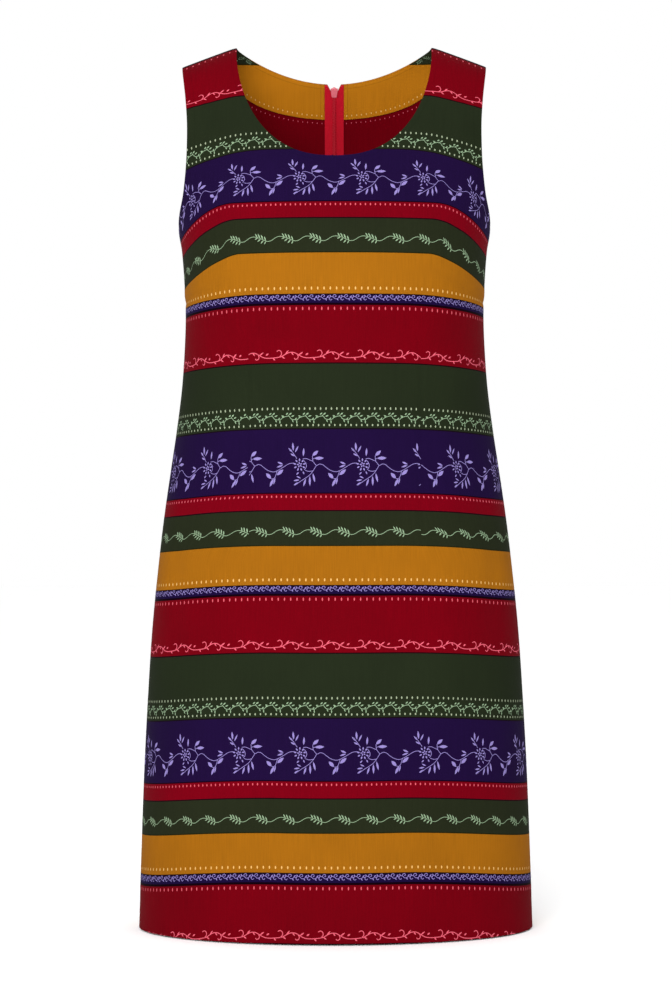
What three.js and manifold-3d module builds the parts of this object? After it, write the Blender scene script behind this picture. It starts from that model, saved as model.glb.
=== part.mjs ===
// Sleeveless A-line shift dress: a front panel shaped by bust and waist darts, two back panels, a
// facing round the back neck and a concealed zip in the centre back seam.
//
// Millimetres, +Z up. The front faces -Y and +X is the wearer's left. The origin lies midway
// between the shoulders, level with the neck points, and a "drop" is measured down from there.
// The cloth skin is followed by two numbers: an angle round the body from the centre front or
// centre back (0) to the side seam (90 degrees), and the square root of the drop, which runs
// smoothly over the rounded shoulder line.
import * as THREE from 'three';
import { mergeVertices } from 'three/addons/utils/BufferGeometryUtils.js';
import Module from 'manifold-3d';

const wasm = await Module();
wasm.setup();

// Cloth layers
const WALL = 1.2;
const FACING_WALL = 1.0;
const SEAM_GAP = 0.3;
const LAYER_GAP = 0.3;

// Shoulder line and neckline
const NECK_HALF = 97;
const SHOULDER_SLOPE = 0.375;
const SHOULDER_SOFTNESS = 6;
const SHOULDER_FADE_DROP = 150;
const FRONT_NECK_DROP = 118.7;
const FRONT_NECK_SQUARENESS = 2.35;
const BACK_NECK_DROP = 30;
const FACING_DEPTH = 36;
const FACING_SHOULDER_WIDTH = 38;

// Armhole: how far in front of and behind the shoulder line its edge runs, as a share of the
// depth of the body there, and how that share closes towards the underarm
const UNDERARM_DROP = 180;
const ARMHOLE_SHARE = 0.86;
const ARMHOLE_ROUNDNESS = 1.6;

// Zip
const NOTCH_HALF = 7;
const NOTCH_DROP = 12;
const TAPE_HALF = 9.8;
const TAPE_WALL = 1.0;
const COIL_HALF = 2.2;
const COIL_WALL = 1.2;
const COIL_END_DROP = 495;
const TAPE_END_DROP = 520;
const SLIDER_DROP = 36.5;
const PULL_LENGTH = 24;
const PULL_REST_DEGREES = 4;

const FRONT = -1;
const BACK = 1;

// Sections down the dress. "half" is the half width to the armhole edge and, below the underarm,
// to the side seam; "front" and "back" are the depths at the centre lines; "square" is 2 for an
// ellipse and more for a boxier section, as where the cloth spans the bust.
const SECTIONS = [
  { drop: 0, half: 151.6, front: 0, back: 0, square: 2.2 },
  { drop: 10, half: 150.3, front: 27.5, back: 27, square: 2.2 },
  { drop: 20, half: 149, front: 37, back: 37, square: 2.2 },
  { drop: 40, half: 146.9, front: 48.5, back: 50, square: 2.2 },
  { drop: 70, half: 145, front: 64.5, back: 66, square: 2.22 },
  { drop: 100, half: 144.8, front: 84.5, back: 80, square: 2.25 },
  { drop: 125, half: 145.9, front: 101, back: 89, square: 2.3 },
  { drop: 150, half: 148.9, front: 114, back: 95.5, square: 2.35 },
  { drop: 180, half: 155.3, front: 124.5, back: 100.5, square: 2.4 },
  { drop: 205, half: 152, front: 131.5, back: 103, square: 2.42 },
  { drop: 235, half: 149.7, front: 134, back: 102, square: 2.4 },
  { drop: 265, half: 148.5, front: 132, back: 98, square: 2.35 },
  { drop: 300, half: 149.6, front: 124.5, back: 92, square: 2.25 },
  { drop: 340, half: 152.5, front: 118, back: 86, square: 2.18 },
  { drop: 380, half: 157.5, front: 115, back: 83.5, square: 2.14 },
  { drop: 420, half: 163.5, front: 115, back: 86, square: 2.12 },
  { drop: 470, half: 170.8, front: 117, back: 92, square: 2.1 },
  { drop: 520, half: 176.7, front: 119.3, back: 99, square: 2.1 },
  { drop: 580, half: 182.7, front: 121.5, back: 105, square: 2.1 },
  { drop: 650, half: 187.3, front: 124, back: 110, square: 2.08 },
  { drop: 720, half: 191, front: 126, back: 113.5, square: 2.06 },
  { drop: 800, half: 194, front: 127.5, back: 116.5, square: 2.05 },
  { drop: 877, half: 196.5, front: 128.5, back: 118.5, square: 2.05 },
];

// Drops of the rows of points between the underarm and the hem. One falls at each end of the zip.
const SKIRT_DROPS = [
  192, 206, 222, 242, 266, 296, 332, 372, 412, 455, COIL_END_DROP, TAPE_END_DROP, 570, 630, 700,
  780, 877,
];

const FRONT_COLUMNS = 14;
const FRONT_NECK_ROWS = 14;
const FRONT_YOKE_ROWS = 5;
const BACK_COLUMNS = 11;
const BACK_NECK_ROWS = 12;
const BACK_YOKE_ROWS = 6;
const FACING_COLUMNS = 3;
const BACK_ARMHOLE_DROP = 84;

// ---------------------------------------------------------------- shape of the cloth skin

const rootDrop = (drop) => Math.sqrt(drop);
const mix = THREE.MathUtils.lerp;

// A smooth curve through one column of the sections, placed by the drop or by its root.
function curveThrough(column, place) {
  const at = SECTIONS.map((row) => place(row.drop));
  const value = SECTIONS.map((row) => row[column]);
  const last = at.length - 1;
  const slope = at.map((_, i) => {
    const before = Math.max(i - 1, 0);
    const after = Math.min(i + 1, last);
    return (value[after] - value[before]) / (at[after] - at[before]);
  });
  return (drop) => {
    const u = place(drop);
    const next = at.findIndex((a) => a > u);
    const i = next === -1 ? last - 1 : next - 1;
    const width = at[i + 1] - at[i];
    const t = (u - at[i]) / width;
    const rise = t * t * (3 - 2 * t);
    return value[i] * (1 - rise) + value[i + 1] * rise
      + width * t * (1 - t) * ((1 - t) * slope[i] - t * slope[i + 1]);
  };
}

const halfAt = curveThrough('half', (drop) => drop);
const squareAt = curveThrough('square', (drop) => drop);
const depthAt = {
  [FRONT]: curveThrough('front', rootDrop),
  [BACK]: curveThrough('back', rootDrop),
};

function shoulderFall(x) {
  const past = Math.abs(x) - NECK_HALF;
  return SHOULDER_SLOPE * (past + Math.hypot(past, SHOULDER_SOFTNESS)) / 2;
}

// The share of the body's width that the armhole edge cuts off: 1 from the underarm down.
function edgeShare(drop) {
  if (drop >= UNDERARM_DROP) {
    return 1;
  }
  const open = ARMHOLE_SHARE * Math.sqrt(1 - (drop / UNDERARM_DROP) ** ARMHOLE_ROUNDNESS);
  const square = squareAt(drop);
  return (1 - open ** square) ** (1 / square);
}

const edgeAngle = (drop) => Math.asin(edgeShare(drop));
const reachAt = (drop) => halfAt(drop) / edgeShare(drop);
const angleAt = (x, drop) => Math.asin(x / reachAt(drop));

function skin(side, angle, root) {
  const drop = root * root;
  const square = squareAt(drop);
  const share = Math.sin(angle);
  const x = reachAt(drop) * share;
  const left = Math.max(0, 1 - Math.abs(share) ** square);
  const round = Math.sign(Math.cos(angle)) * left ** (1 / square);
  const depth = Math.sign(root) * depthAt[side](drop) * round;
  const fade = 1 - THREE.MathUtils.smoothstep(drop, 0, SHOULDER_FADE_DROP);
  return new THREE.Vector3(x, side * (SEAM_GAP / 2 + depth), -drop - shoulderFall(x) * fade);
}

function outward(side, angle, root) {
  const step = 1e-3;
  const across = skin(side, angle + step, root).sub(skin(side, angle - step, root));
  const down = skin(side, angle, root + step).sub(skin(side, angle, root - step));
  return across.cross(down).multiplyScalar(side).normalize();
}

// A point of the cloth: its place on the outer face and the way out from there.
function clothPoint(side, { angle, root }) {
  return { outer: skin(side, angle, root), out: outward(side, angle, root) };
}

const spotAt = (x, drop) => ({ angle: angleAt(x, drop), root: rootDrop(drop) });
const edgeSpot = (drop) => ({ angle: edgeAngle(drop), root: rootDrop(drop) });
const mixSpots = (a, b, t) => ({ angle: mix(a.angle, b.angle, t), root: mix(a.root, b.root, t) });

// Places, spaced evenly by length along the cloth, on a line of spots from u = 0 to u = 1.
function evenPlaces(side, spotOf, count) {
  const fine = 400;
  const places = Array.from({ length: fine + 1 }, (_, i) => i / fine);
  const points = places.map((u) => {
    const spot = spotOf(u);
    return skin(side, spot.angle, spot.root);
  });
  const length = [0];
  for (let i = 1; i <= fine; i += 1) {
    length.push(length[i - 1] + points[i].distanceTo(points[i - 1]));
  }
  return Array.from({ length: count + 1 }, (_, k) => {
    const wanted = length[fine] * k / count;
    const i = Math.min(Math.max(length.findIndex((l) => l >= wanted - 1e-9), 1), fine);
    const share = (wanted - length[i - 1]) / (length[i] - length[i - 1]);
    return k === count ? 1 : mix(places[i - 1], places[i], Math.max(share, 0));
  });
}

function rowBetween(side, from, to, columns) {
  return Array.from({ length: columns + 1 }, (_, j) => (
    clothPoint(side, mixSpots(from, to, j / columns))
  ));
}

// ---------------------------------------------------------------- lines on the skin

function frontNeckSpot(u) {
  const turn = u * Math.PI / 2;
  const x = NECK_HALF * Math.max(Math.cos(turn), 0) ** (2 / FRONT_NECK_SQUARENESS);
  return spotAt(u === 1 ? 0 : x, FRONT_NECK_DROP * Math.sin(turn));
}

// Curves that run parallel to the back neckline, from it (share 0) to the facing's edge (share 1).
function backNeckSpot(share, u) {
  const half = NECK_HALF + FACING_SHOULDER_WIDTH * share;
  const drop = BACK_NECK_DROP + FACING_DEPTH * share;
  const end = Math.max(NOTCH_HALF * (1 - share * FACING_DEPTH / NOTCH_DROP), SEAM_GAP / 2);
  const turn = u * Math.acos(end / half);
  return spotAt(half * Math.cos(turn), drop * Math.sin(turn) ** 2);
}

// The armhole edge between two drops. It is followed by the root at the shoulder and slows down
// towards the underarm, where it turns level.
function armholeSpot(from, to, u) {
  const ease = to === UNDERARM_DROP ? 1 - (1 - u) ** 2 : u;
  return edgeSpot(mix(rootDrop(from), rootDrop(to), ease) ** 2);
}

function armholeSpots(side, from, to, count) {
  const along = (u) => armholeSpot(from, to, u);
  return evenPlaces(side, along, count).map(along);
}

const sideSpots = SKIRT_DROPS.map(edgeSpot);

// ---------------------------------------------------------------- panels as grids of points

function mirrored(grid) {
  const flip = (v) => new THREE.Vector3(-v.x, v.y, v.z);
  const flipPoint = ({ outer, out }) => ({ outer: flip(outer), out: flip(out) });
  return grid.map((row) => row.map(flipPoint).reverse());
}

function frontGrids() {
  const neck = evenPlaces(FRONT, frontNeckSpot, FRONT_NECK_ROWS).map(frontNeckSpot);
  const shoulderToNeck = armholeSpots(FRONT, 0, FRONT_NECK_DROP, FRONT_NECK_ROWS);
  const neckToUnderarm = armholeSpots(FRONT, FRONT_NECK_DROP, UNDERARM_DROP, FRONT_YOKE_ROWS);
  const strap = neck.map((spot, k) => rowBetween(FRONT, spot, shoulderToNeck[k], FRONT_COLUMNS));

  const edges = [...neckToUnderarm, ...sideSpots].slice(1);
  const yokeDrops = neckToUnderarm.map((_, k) => (
    mix(FRONT_NECK_DROP, UNDERARM_DROP, k / FRONT_YOKE_ROWS)
  )).slice(1);
  const rest = [...yokeDrops, ...SKIRT_DROPS].map((drop, k) => (
    rowBetween(FRONT, spotAt(0, drop), edges[k], FRONT_COLUMNS)
  ));
  const half = [strap.at(-1), ...rest];
  const whole = mirrored(half).map((row, k) => [...row, ...half[k].slice(1)]);
  return [strap, mirrored(strap), whole];
}

// One back panel in three grids: the band under the facing, from the neckline to the facing's
// edge; the strap and shoulder blade outside it; and the rest down to the hem.
function backGrids() {
  const steps = evenPlaces(BACK, (u) => backNeckSpot(0, u), BACK_NECK_ROWS);
  const band = steps.map((u) => Array.from({ length: FACING_COLUMNS + 1 }, (_, c) => (
    clothPoint(BACK, backNeckSpot(c / FACING_COLUMNS, u))
  )));
  const armhole = armholeSpots(BACK, 0, BACK_ARMHOLE_DROP, BACK_NECK_ROWS);
  const strap = steps.map((u, k) => rowBetween(BACK, backNeckSpot(1, u), armhole[k], BACK_COLUMNS));

  const centreTop = BACK_NECK_DROP + FACING_DEPTH;
  const yokeEdges = armholeSpots(BACK, BACK_ARMHOLE_DROP, UNDERARM_DROP, BACK_YOKE_ROWS);
  const yokeDrops = yokeEdges.map((_, k) => mix(centreTop, UNDERARM_DROP, k / BACK_YOKE_ROWS));
  const edges = [...yokeEdges, ...sideSpots].slice(1);
  const rest = [...yokeDrops.slice(1), ...SKIRT_DROPS].map((drop, k) => (
    rowBetween(BACK, spotAt(SEAM_GAP / 2, drop), edges[k], BACK_COLUMNS)
  ));
  const body = [strap.at(-1), ...rest];
  return { band, strap, body };
}

// ---------------------------------------------------------------- solids from grids

// Moves a point inwards: its outer face then lies `depth` under the skin.
function inset({ outer, out }, depth) {
  return { outer: outer.clone().addScaledVector(out, -depth), out };
}

// The point of the cloth facet between two neighbours that lies `x` out from the centre line.
function between(near, far, x) {
  const t = (x - near.outer.x) / (far.outer.x - near.outer.x);
  return {
    outer: near.outer.clone().lerp(far.outer, t),
    out: near.out.clone().lerp(far.out, t).normalize(),
  };
}

function signedVolume(position, index) {
  const [a, b, c] = [new THREE.Vector3(), new THREE.Vector3(), new THREE.Vector3()];
  let volume = 0;
  for (let i = 0; i < index.length; i += 3) {
    a.fromArray(position, 3 * index[i]);
    b.fromArray(position, 3 * index[i + 1]);
    c.fromArray(position, 3 * index[i + 2]);
    volume += a.dot(b.cross(c)) / 6;
  }
  return volume;
}

// A closed wall of even thickness: the outer face, the inner face and a rim round every free edge.
function wallGeometry(grids, wall) {
  const number = new Map();
  const outer = [];
  const inner = [];
  const numberOf = (point) => {
    const key = point.outer.toArray().map((v) => Math.round(v * 1e4)).join();
    if (!number.has(key)) {
      number.set(key, number.size);
      outer.push(...point.outer.toArray());
      inner.push(...inset(point, wall).outer.toArray());
    }
    return number.get(key);
  };

  const cells = grids.flatMap((grid) => grid.slice(1).flatMap((row, i) => (
    row.slice(1).map((point, j) => (
      [grid[i][j], row[j], point, grid[i][j + 1]].map(numberOf)
    ))
  )));
  const count = number.size;
  const index = cells.flatMap(([a, b, c, d]) => [
    a, b, c, a, c, d,
    a + count, c + count, b + count, a + count, d + count, c + count,
  ]);

  const borders = new Map();
  cells.forEach((cell) => cell.forEach((from, i) => {
    const to = cell[(i + 1) % 4];
    if (!borders.delete(`${to},${from}`)) {
      borders.set(`${from},${to}`, [from, to]);
    }
  }));
  borders.forEach(([from, to]) => {
    index.push(from, from + count, to + count, from, to + count, to);
  });

  const position = [...outer, ...inner];
  if (signedVolume(position, index) < 0) {
    index.reverse();
  }
  const geometry = new THREE.BufferGeometry();
  geometry.setAttribute('position', new THREE.Float32BufferAttribute(position, 3));
  geometry.setIndex(index);
  geometry.computeVertexNormals();
  return geometry;
}

// ---------------------------------------------------------------- materials

const FINISHES = {
  front_cotton: { color: '#7a1830', roughness: 0.85 },
  back_cotton: { color: '#4a2a66', roughness: 0.85 },
  facing_cotton: { color: '#b5791c', roughness: 0.85 },
  zip_tape: { color: '#b80f2c', roughness: 0.8 },
  zip_coil: { color: '#a80c26', roughness: 0.5 },
  zip_enamel: { color: '#c4606a', roughness: 0.4, metalness: 0.3 },
};

function piece(name, geometry, finish) {
  const mesh = new THREE.Mesh(geometry, new THREE.MeshStandardMaterial(FINISHES[finish]));
  mesh.name = name;
  return mesh;
}

// ---------------------------------------------------------------- zip hardware

function asManifold(geometry) {
  const bare = geometry.index ? geometry.toNonIndexed() : geometry.clone();
  bare.deleteAttribute('normal');
  bare.deleteAttribute('uv');
  const merged = mergeVertices(bare, 1e-5);
  return new wasm.Manifold(new wasm.Mesh({
    numProp: 3,
    vertProperties: new Float32Array(merged.attributes.position.array),
    triVerts: new Uint32Array(merged.index.array),
  }));
}

function joined(geometries) {
  const { vertProperties, triVerts } = geometries.map(asManifold).reduce((a, b) => a.add(b)).getMesh();
  const geometry = new THREE.BufferGeometry();
  geometry.setAttribute('position', new THREE.Float32BufferAttribute(vertProperties, 3));
  geometry.setIndex([...triVerts]);
  return geometry;
}

// A block between two heights off the cloth, `half` wide each way, from `low` to `high` along it.
function block({ half, low, high, from, to, shift = 0 }) {
  const geometry = new THREE.BoxGeometry(2 * half, high - low, to - from);
  return geometry.translate(shift, (low + high) / 2, (from + to) / 2);
}

// A plate with rounded corners that narrows from its top to its bottom.
function taperedPlate({ topHalf, bottomHalf, low, high, from, to, corner }) {
  const shape = new THREE.Shape();
  shape.moveTo(-topHalf + corner, high);
  shape.lineTo(topHalf - corner, high);
  shape.quadraticCurveTo(topHalf, high, topHalf - corner / 4, high - corner);
  shape.lineTo(bottomHalf, low + corner);
  shape.quadraticCurveTo(bottomHalf, low, bottomHalf - corner, low);
  shape.lineTo(-bottomHalf + corner, low);
  shape.quadraticCurveTo(-bottomHalf, low, -bottomHalf, low + corner);
  shape.lineTo(-topHalf + corner / 4, high - corner);
  shape.quadraticCurveTo(-topHalf, high, -topHalf + corner, high);
  const options = { depth: to - from, bevelEnabled: false, curveSegments: 4 };
  return new THREE.ExtrudeGeometry(shape, options).translate(0, 0, from);
}

const TAPE_INSIDE = WALL + LAYER_GAP + TAPE_WALL;
const SLIDER_BACK = -(TAPE_INSIDE + LAYER_GAP);
const SLIDER_PLATE = 1.4;
const CROWN_SEAT = 0.4;
const CROWN_PLATE = 0.8;
const BRIDGE_HALF = 1.0;
const BRIDGE_OPEN = 1.9;
const BRIDGE_POST = 1.0;
const PIVOT_HEIGHT = 2.3;
const PIVOT_ROOM = 1.1;
const EYE_BAR = 0.6;
const EYE_HALF = 2.7;
const EYE_WINDOW_HALF = 1.4;
const EYE_LENGTH = 4.2;

// The slider: a plate inside on the coil, a neck through the notch, and a low crown outside with
// the bridge that the pull swings on.
function sliderGeometry() {
  const crownTop = CROWN_SEAT + CROWN_PLATE;
  const bridgeUnder = PIVOT_HEIGHT + PIVOT_ROOM;
  const bridgeTop = bridgeUnder + 0.8;
  const post = { half: BRIDGE_HALF, from: crownTop - 0.2, to: bridgeTop };
  return joined([
    taperedPlate({
      topHalf: 4, bottomHalf: 2.6, low: -5, high: 4.5, corner: 1.2,
      from: SLIDER_BACK - SLIDER_PLATE, to: SLIDER_BACK,
    }),
    block({ half: 0.9, low: -1, high: 3, from: SLIDER_BACK - 0.4, to: CROWN_SEAT + 0.4 }),
    taperedPlate({
      topHalf: 2.2, bottomHalf: 2, low: -3.4, high: 3.4, corner: 0.8, from: CROWN_SEAT, to: crownTop,
    }),
    block({ ...post, low: -BRIDGE_OPEN - BRIDGE_POST, high: -BRIDGE_OPEN }),
    block({ ...post, low: BRIDGE_OPEN, high: BRIDGE_OPEN + BRIDGE_POST }),
    block({
      half: BRIDGE_HALF, low: -BRIDGE_OPEN - BRIDGE_POST, high: BRIDGE_OPEN + BRIDGE_POST,
      from: bridgeUnder, to: bridgeTop,
    }),
  ]);
}

// The pull hangs from its eye: a bar through the bridge, two side arms and a long thin tab.
function pullGeometry() {
  const flat = { from: -EYE_BAR, to: EYE_BAR };
  const armHalf = (EYE_HALF - EYE_WINDOW_HALF) / 2;
  const armShift = (EYE_HALF + EYE_WINDOW_HALF) / 2;
  return joined([
    block({ half: EYE_HALF, low: -EYE_BAR, high: EYE_BAR, ...flat }),
    block({ half: armHalf, low: -EYE_LENGTH - 1, high: EYE_BAR, shift: armShift, ...flat }),
    block({ half: armHalf, low: -EYE_LENGTH - 1, high: EYE_BAR, shift: -armShift, ...flat }),
    taperedPlate({
      topHalf: EYE_HALF, bottomHalf: 2.1, low: -PULL_LENGTH, high: -EYE_LENGTH, corner: 1, ...flat,
    }),
  ]);
}

// Sets a piece on the centre back: its own +Y runs up along the cloth and its own +Z stands out.
function seatOnCentreBack(mesh, drop, height, tilt) {
  const spot = spotAt(0, drop);
  const out = outward(BACK, spot.angle, spot.root);
  const across = new THREE.Vector3(-1, 0, 0);
  const up = out.clone().cross(across);
  mesh.quaternion.setFromRotationMatrix(new THREE.Matrix4().makeBasis(across, up, out));
  mesh.rotateX(tilt);
  mesh.position.copy(skin(BACK, spot.angle, spot.root)).addScaledVector(out, height);
  return mesh;
}

// ---------------------------------------------------------------- the dress

const dress = new THREE.Group();
dress.add(piece('front', wallGeometry(frontGrids(), WALL), 'front_cotton'));

const { band, strap, body } = backGrids();

// The panel's points along the centre back, each with its neighbour further out.
const lastBand = band[BACK_NECK_ROWS];
const centreBack = [
  ...lastBand.map((near, c) => ({ near, far: band[BACK_NECK_ROWS - 1][c] })),
  ...body.slice(1).map(([near, far]) => ({ near, far })),
];
const downTo = (drop) => centreBack.filter(({ near }) => near.outer.z > -drop - 1);

const facing = [
  ...band.slice(0, BACK_NECK_ROWS),
  lastBand.map((near, c) => between(near, band[BACK_NECK_ROWS - 1][c], TAPE_HALF + SEAM_GAP)),
].map((row) => row.map((point) => inset(point, WALL + LAYER_GAP)));

const tape = downTo(TAPE_END_DROP).map(({ near, far }) => (
  [near, between(near, far, TAPE_HALF)].map((point) => inset(point, WALL + LAYER_GAP))
));

const coil = downTo(COIL_END_DROP).slice(1).map(({ near, far }) => {
  const side = inset(between(near, far, COIL_HALF), TAPE_INSIDE + LAYER_GAP);
  return [mirrored([[side]])[0][0], side];
});

const paired = [
  { name: 'back', grids: [band, strap, body], wall: WALL, finish: 'back_cotton' },
  { name: 'neck_facing', grids: [facing], wall: FACING_WALL, finish: 'facing_cotton' },
  { name: 'zip_tape', grids: [tape], wall: TAPE_WALL, finish: 'zip_tape' },
];
paired.forEach(({ name, grids, wall, finish }) => {
  dress.add(piece(`${name}_left`, wallGeometry(grids, wall), finish));
  dress.add(piece(`${name}_right`, wallGeometry(grids.map(mirrored), wall), finish));
});
dress.add(piece('zip_coil', wallGeometry([coil], COIL_WALL), 'zip_coil'));

const slider = piece('zip_slider', sliderGeometry(), 'zip_enamel');
dress.add(seatOnCentreBack(slider, SLIDER_DROP, 0, 0));
const pull = piece('zip_pull', pullGeometry(), 'zip_enamel');
dress.add(seatOnCentreBack(pull, SLIDER_DROP, PIVOT_HEIGHT, THREE.MathUtils.degToRad(PULL_REST_DEGREES)));

export default dress;
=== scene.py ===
"""Sleeveless A-line shift dress in striped printed cotton, filled out as it is worn.

The cloth is worked out in millimetres from the garment's own sizes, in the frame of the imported
model: +Z up, the front faces -Y, +X is the wearer's left, the origin lies midway between the
shoulders. A "drop" is measured down from there. Meshes are turned to metres as they are made.
"""
from math import acos, cos, pi, radians, sin

import bmesh
import bpy
import numpy as np
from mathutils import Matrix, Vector
from mathutils.bvhtree import BVHTree
from mathutils.kdtree import KDTree


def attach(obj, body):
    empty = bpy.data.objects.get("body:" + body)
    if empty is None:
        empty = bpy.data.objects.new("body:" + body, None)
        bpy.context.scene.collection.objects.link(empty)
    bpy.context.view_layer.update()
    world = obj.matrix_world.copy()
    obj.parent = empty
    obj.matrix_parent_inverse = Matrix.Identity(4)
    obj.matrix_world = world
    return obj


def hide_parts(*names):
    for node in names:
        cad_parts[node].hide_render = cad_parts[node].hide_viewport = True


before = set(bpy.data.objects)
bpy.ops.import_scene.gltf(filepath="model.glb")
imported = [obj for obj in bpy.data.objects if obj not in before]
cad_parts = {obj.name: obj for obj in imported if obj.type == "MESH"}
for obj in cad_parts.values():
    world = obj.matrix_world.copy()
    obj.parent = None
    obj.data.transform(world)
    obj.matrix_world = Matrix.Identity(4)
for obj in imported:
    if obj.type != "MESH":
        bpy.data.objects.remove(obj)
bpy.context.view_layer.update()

MM = 0.001
FRONT, BACK = -1, 1

# ---------------------------------------------------------------- sizes of the garment, in mm

CLOTH = 0.6            # thickness of the cotton as shown
PANEL_WALL = 1.2       # room that a panel takes with its turnings
LAYER_GAP = 0.3
SEAM_GAP = 0.3
SEWN_SHIFT = SEAM_GAP / 2 - 0.01   # brings an edge onto its seam

NECK_HALF = 97
SHOULDER_SLOPE = 0.375
SHOULDER_SOFTNESS = 6
SHOULDER_FADE_DROP = 150
FRONT_NECK_DROP = 118.7
FRONT_NECK_SQUARENESS = 2.35
BACK_NECK_DROP = 30
FACING_DEPTH = 36
FACING_SHOULDER_WIDTH = 38
NOTCH_HALF = 7
NOTCH_DROP = 12
UNDERARM_DROP = 180
BACK_ARMHOLE_DROP = 84
ARMHOLE_SHARE = 0.86
ARMHOLE_ROUNDNESS = 1.6
HEM_DROP = 877
HEM_TURNING = 30
TAPE_HALF = 9.8
TAPE_WALL = 1.0
TAPE_CLOTH = 0.8       # thickness of the tape as shown
TAPE_END_DROP = 520
COIL_END_DROP = 495
COIL_HALF = 2.1
COIL_WALL = 1.2
COIL_PITCH = 1.5

# drop, half width, front depth, back depth, squareness of the section
SECTIONS = np.array([
    (0, 151.6, 0, 0, 2.2),
    (10, 150.3, 27.5, 27, 2.2),
    (20, 149, 37, 37, 2.2),
    (40, 146.9, 48.5, 50, 2.2),
    (70, 145, 64.5, 66, 2.22),
    (100, 144.8, 84.5, 80, 2.25),
    (125, 145.9, 101, 89, 2.3),
    (150, 148.9, 114, 95.5, 2.35),
    (180, 155.3, 124.5, 100.5, 2.4),
    (205, 152, 131.5, 103, 2.42),
    (235, 149.7, 134, 102, 2.4),
    (265, 148.5, 132, 98, 2.35),
    (300, 149.6, 124.5, 92, 2.25),
    (340, 152.5, 118, 86, 2.18),
    (380, 157.5, 115, 83.5, 2.14),
    (420, 163.5, 115, 86, 2.12),
    (470, 170.8, 117, 92, 2.1),
    (520, 176.7, 119.3, 99, 2.1),
    (580, 182.7, 121.5, 105, 2.1),
    (650, 187.3, 124, 110, 2.08),
    (720, 191, 126, 113.5, 2.06),
    (800, 194, 127.5, 116.5, 2.05),
    (877, 196.5, 128.5, 118.5, 2.05),
], float)

# Waist darts: two fisheye darts a side of the body, from one drop to another
DART_X = 83
DART_FROM = 285
DART_TO = 510
DART_INTAKE = {FRONT: 25, BACK: 18}
# Bust darts: from the side seam at one drop up towards the bust
BUST_DART_SEAM_DROP = 256
BUST_DART_TIP_DROP = 229
BUST_DART_TIP_X = 95

# What sewing does to the cloth: how far a line is drawn in or rounded out, and its half width
DART_CREASE = (0.75, 1.9)
DART_FULLNESS = (0.6, 14)
DART_END = (0.5, 9)
BUST_DART_CREASE = (0.8, 2.4)
BUST_DART_FULLNESS = (0.5, 6)
ZIP_SEAM = (0.55, 1.8)
SIDE_SEAM = (0.5, 2.2)
SIDE_PUCKER = (0.12, 5)
PUCKER_PITCH = 8.5
SHOULDER_SEAM = (0.35, 1)
SHOULDER_ROUND = (1.0, 6)
EDGE_ROLL = (0.3, 0.8)
SEWN_WIDTH = 1.5       # how close to a seam the cloth is drawn onto it
HEM_STEP = 0.12
FOLD_FADE = 12         # folds die away this close to the side seam
DART_END_STRETCH = 1.6
BUST_FULLNESS_RISE = 8
BUST_DART_START = 0.12

# ---------------------------------------------------------------- the cloth's form


def curve_through(column, place):
    """A smooth curve through one column of the sections, placed by the drop or by its root."""
    at, value = place(SECTIONS[:, 0]), SECTIONS[:, column]
    before = np.maximum(np.arange(len(at)) - 1, 0)
    after = np.minimum(np.arange(len(at)) + 1, len(at) - 1)
    slope = (value[after] - value[before]) / (at[after] - at[before])

    def curve(drop):
        u = place(np.asarray(drop, float))
        i = np.clip(np.searchsorted(at, u, side="right") - 1, 0, len(at) - 2)
        width = at[i + 1] - at[i]
        t = (u - at[i]) / width
        rise = t * t * (3 - 2 * t)
        bend = width * t * (1 - t) * ((1 - t) * slope[i] - t * slope[i + 1])
        return value[i] * (1 - rise) + value[i + 1] * rise + bend

    return curve


half_at = curve_through(1, lambda drop: drop)
square_at = curve_through(4, lambda drop: drop)
depth_at = {FRONT: curve_through(2, np.sqrt), BACK: curve_through(3, np.sqrt)}


def smooth(t):
    t = np.clip(t, 0, 1)
    return t * t * (3 - 2 * t)


def bump(distance, width):
    return np.exp(-(distance / width) ** 2)


def ridge(distance, shape):
    height, width = shape
    return height * bump(distance, width)


def edge_share(drop):
    """Share of the body's width that the armhole edge cuts off: 1 from the underarm down."""
    drop = np.asarray(drop, float)
    left = np.clip(1 - (np.minimum(drop, UNDERARM_DROP) / UNDERARM_DROP) ** ARMHOLE_ROUNDNESS, 0, 1)
    square = square_at(drop)
    share = (1 - (ARMHOLE_SHARE * np.sqrt(left)) ** square) ** (1 / square)
    return np.where(drop >= UNDERARM_DROP, 1, share)


def reach_at(drop):
    return half_at(drop) / edge_share(drop)


def angle_at(x, drop):
    return np.arcsin(np.clip(x / reach_at(drop), -1, 1))


def skin(side, angle, root):
    """Points of the cloth's outer face, by the angle round the body and the root of the drop."""
    drop = root * root
    square = square_at(drop)
    share = np.sin(angle)
    x = reach_at(drop) * share
    rounded = np.clip(1 - np.abs(share) ** square, 0, None) ** (1 / square)
    depth = np.sign(root) * depth_at[side](drop) * np.sign(np.cos(angle)) * rounded
    past = np.abs(x) - NECK_HALF
    fall = SHOULDER_SLOPE * (past + np.hypot(past, SHOULDER_SOFTNESS)) / 2
    z = -drop - fall * (1 - smooth(drop / SHOULDER_FADE_DROP))
    return np.stack([x, side * (SEAM_GAP / 2 + depth), z], -1)


def outward(side, angle, root):
    step = 1e-3
    across = skin(side, angle + step, root) - skin(side, angle - step, root)
    down = skin(side, angle, root + step) - skin(side, angle, root - step)
    out = side * np.cross(across, down)
    return out / np.linalg.norm(out, axis=-1, keepdims=True)


# ---------------------------------------------------------------- lengths along the cloth

DROPS = np.linspace(0, HEM_DROP, 1755)
WIDE = np.linspace(0, 1, 241)


def centre_lengths(side):
    line = skin(side, np.zeros_like(DROPS), np.sqrt(DROPS))
    return np.concatenate([[0], np.cumsum(np.linalg.norm(np.diff(line, axis=0), axis=1))])


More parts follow.
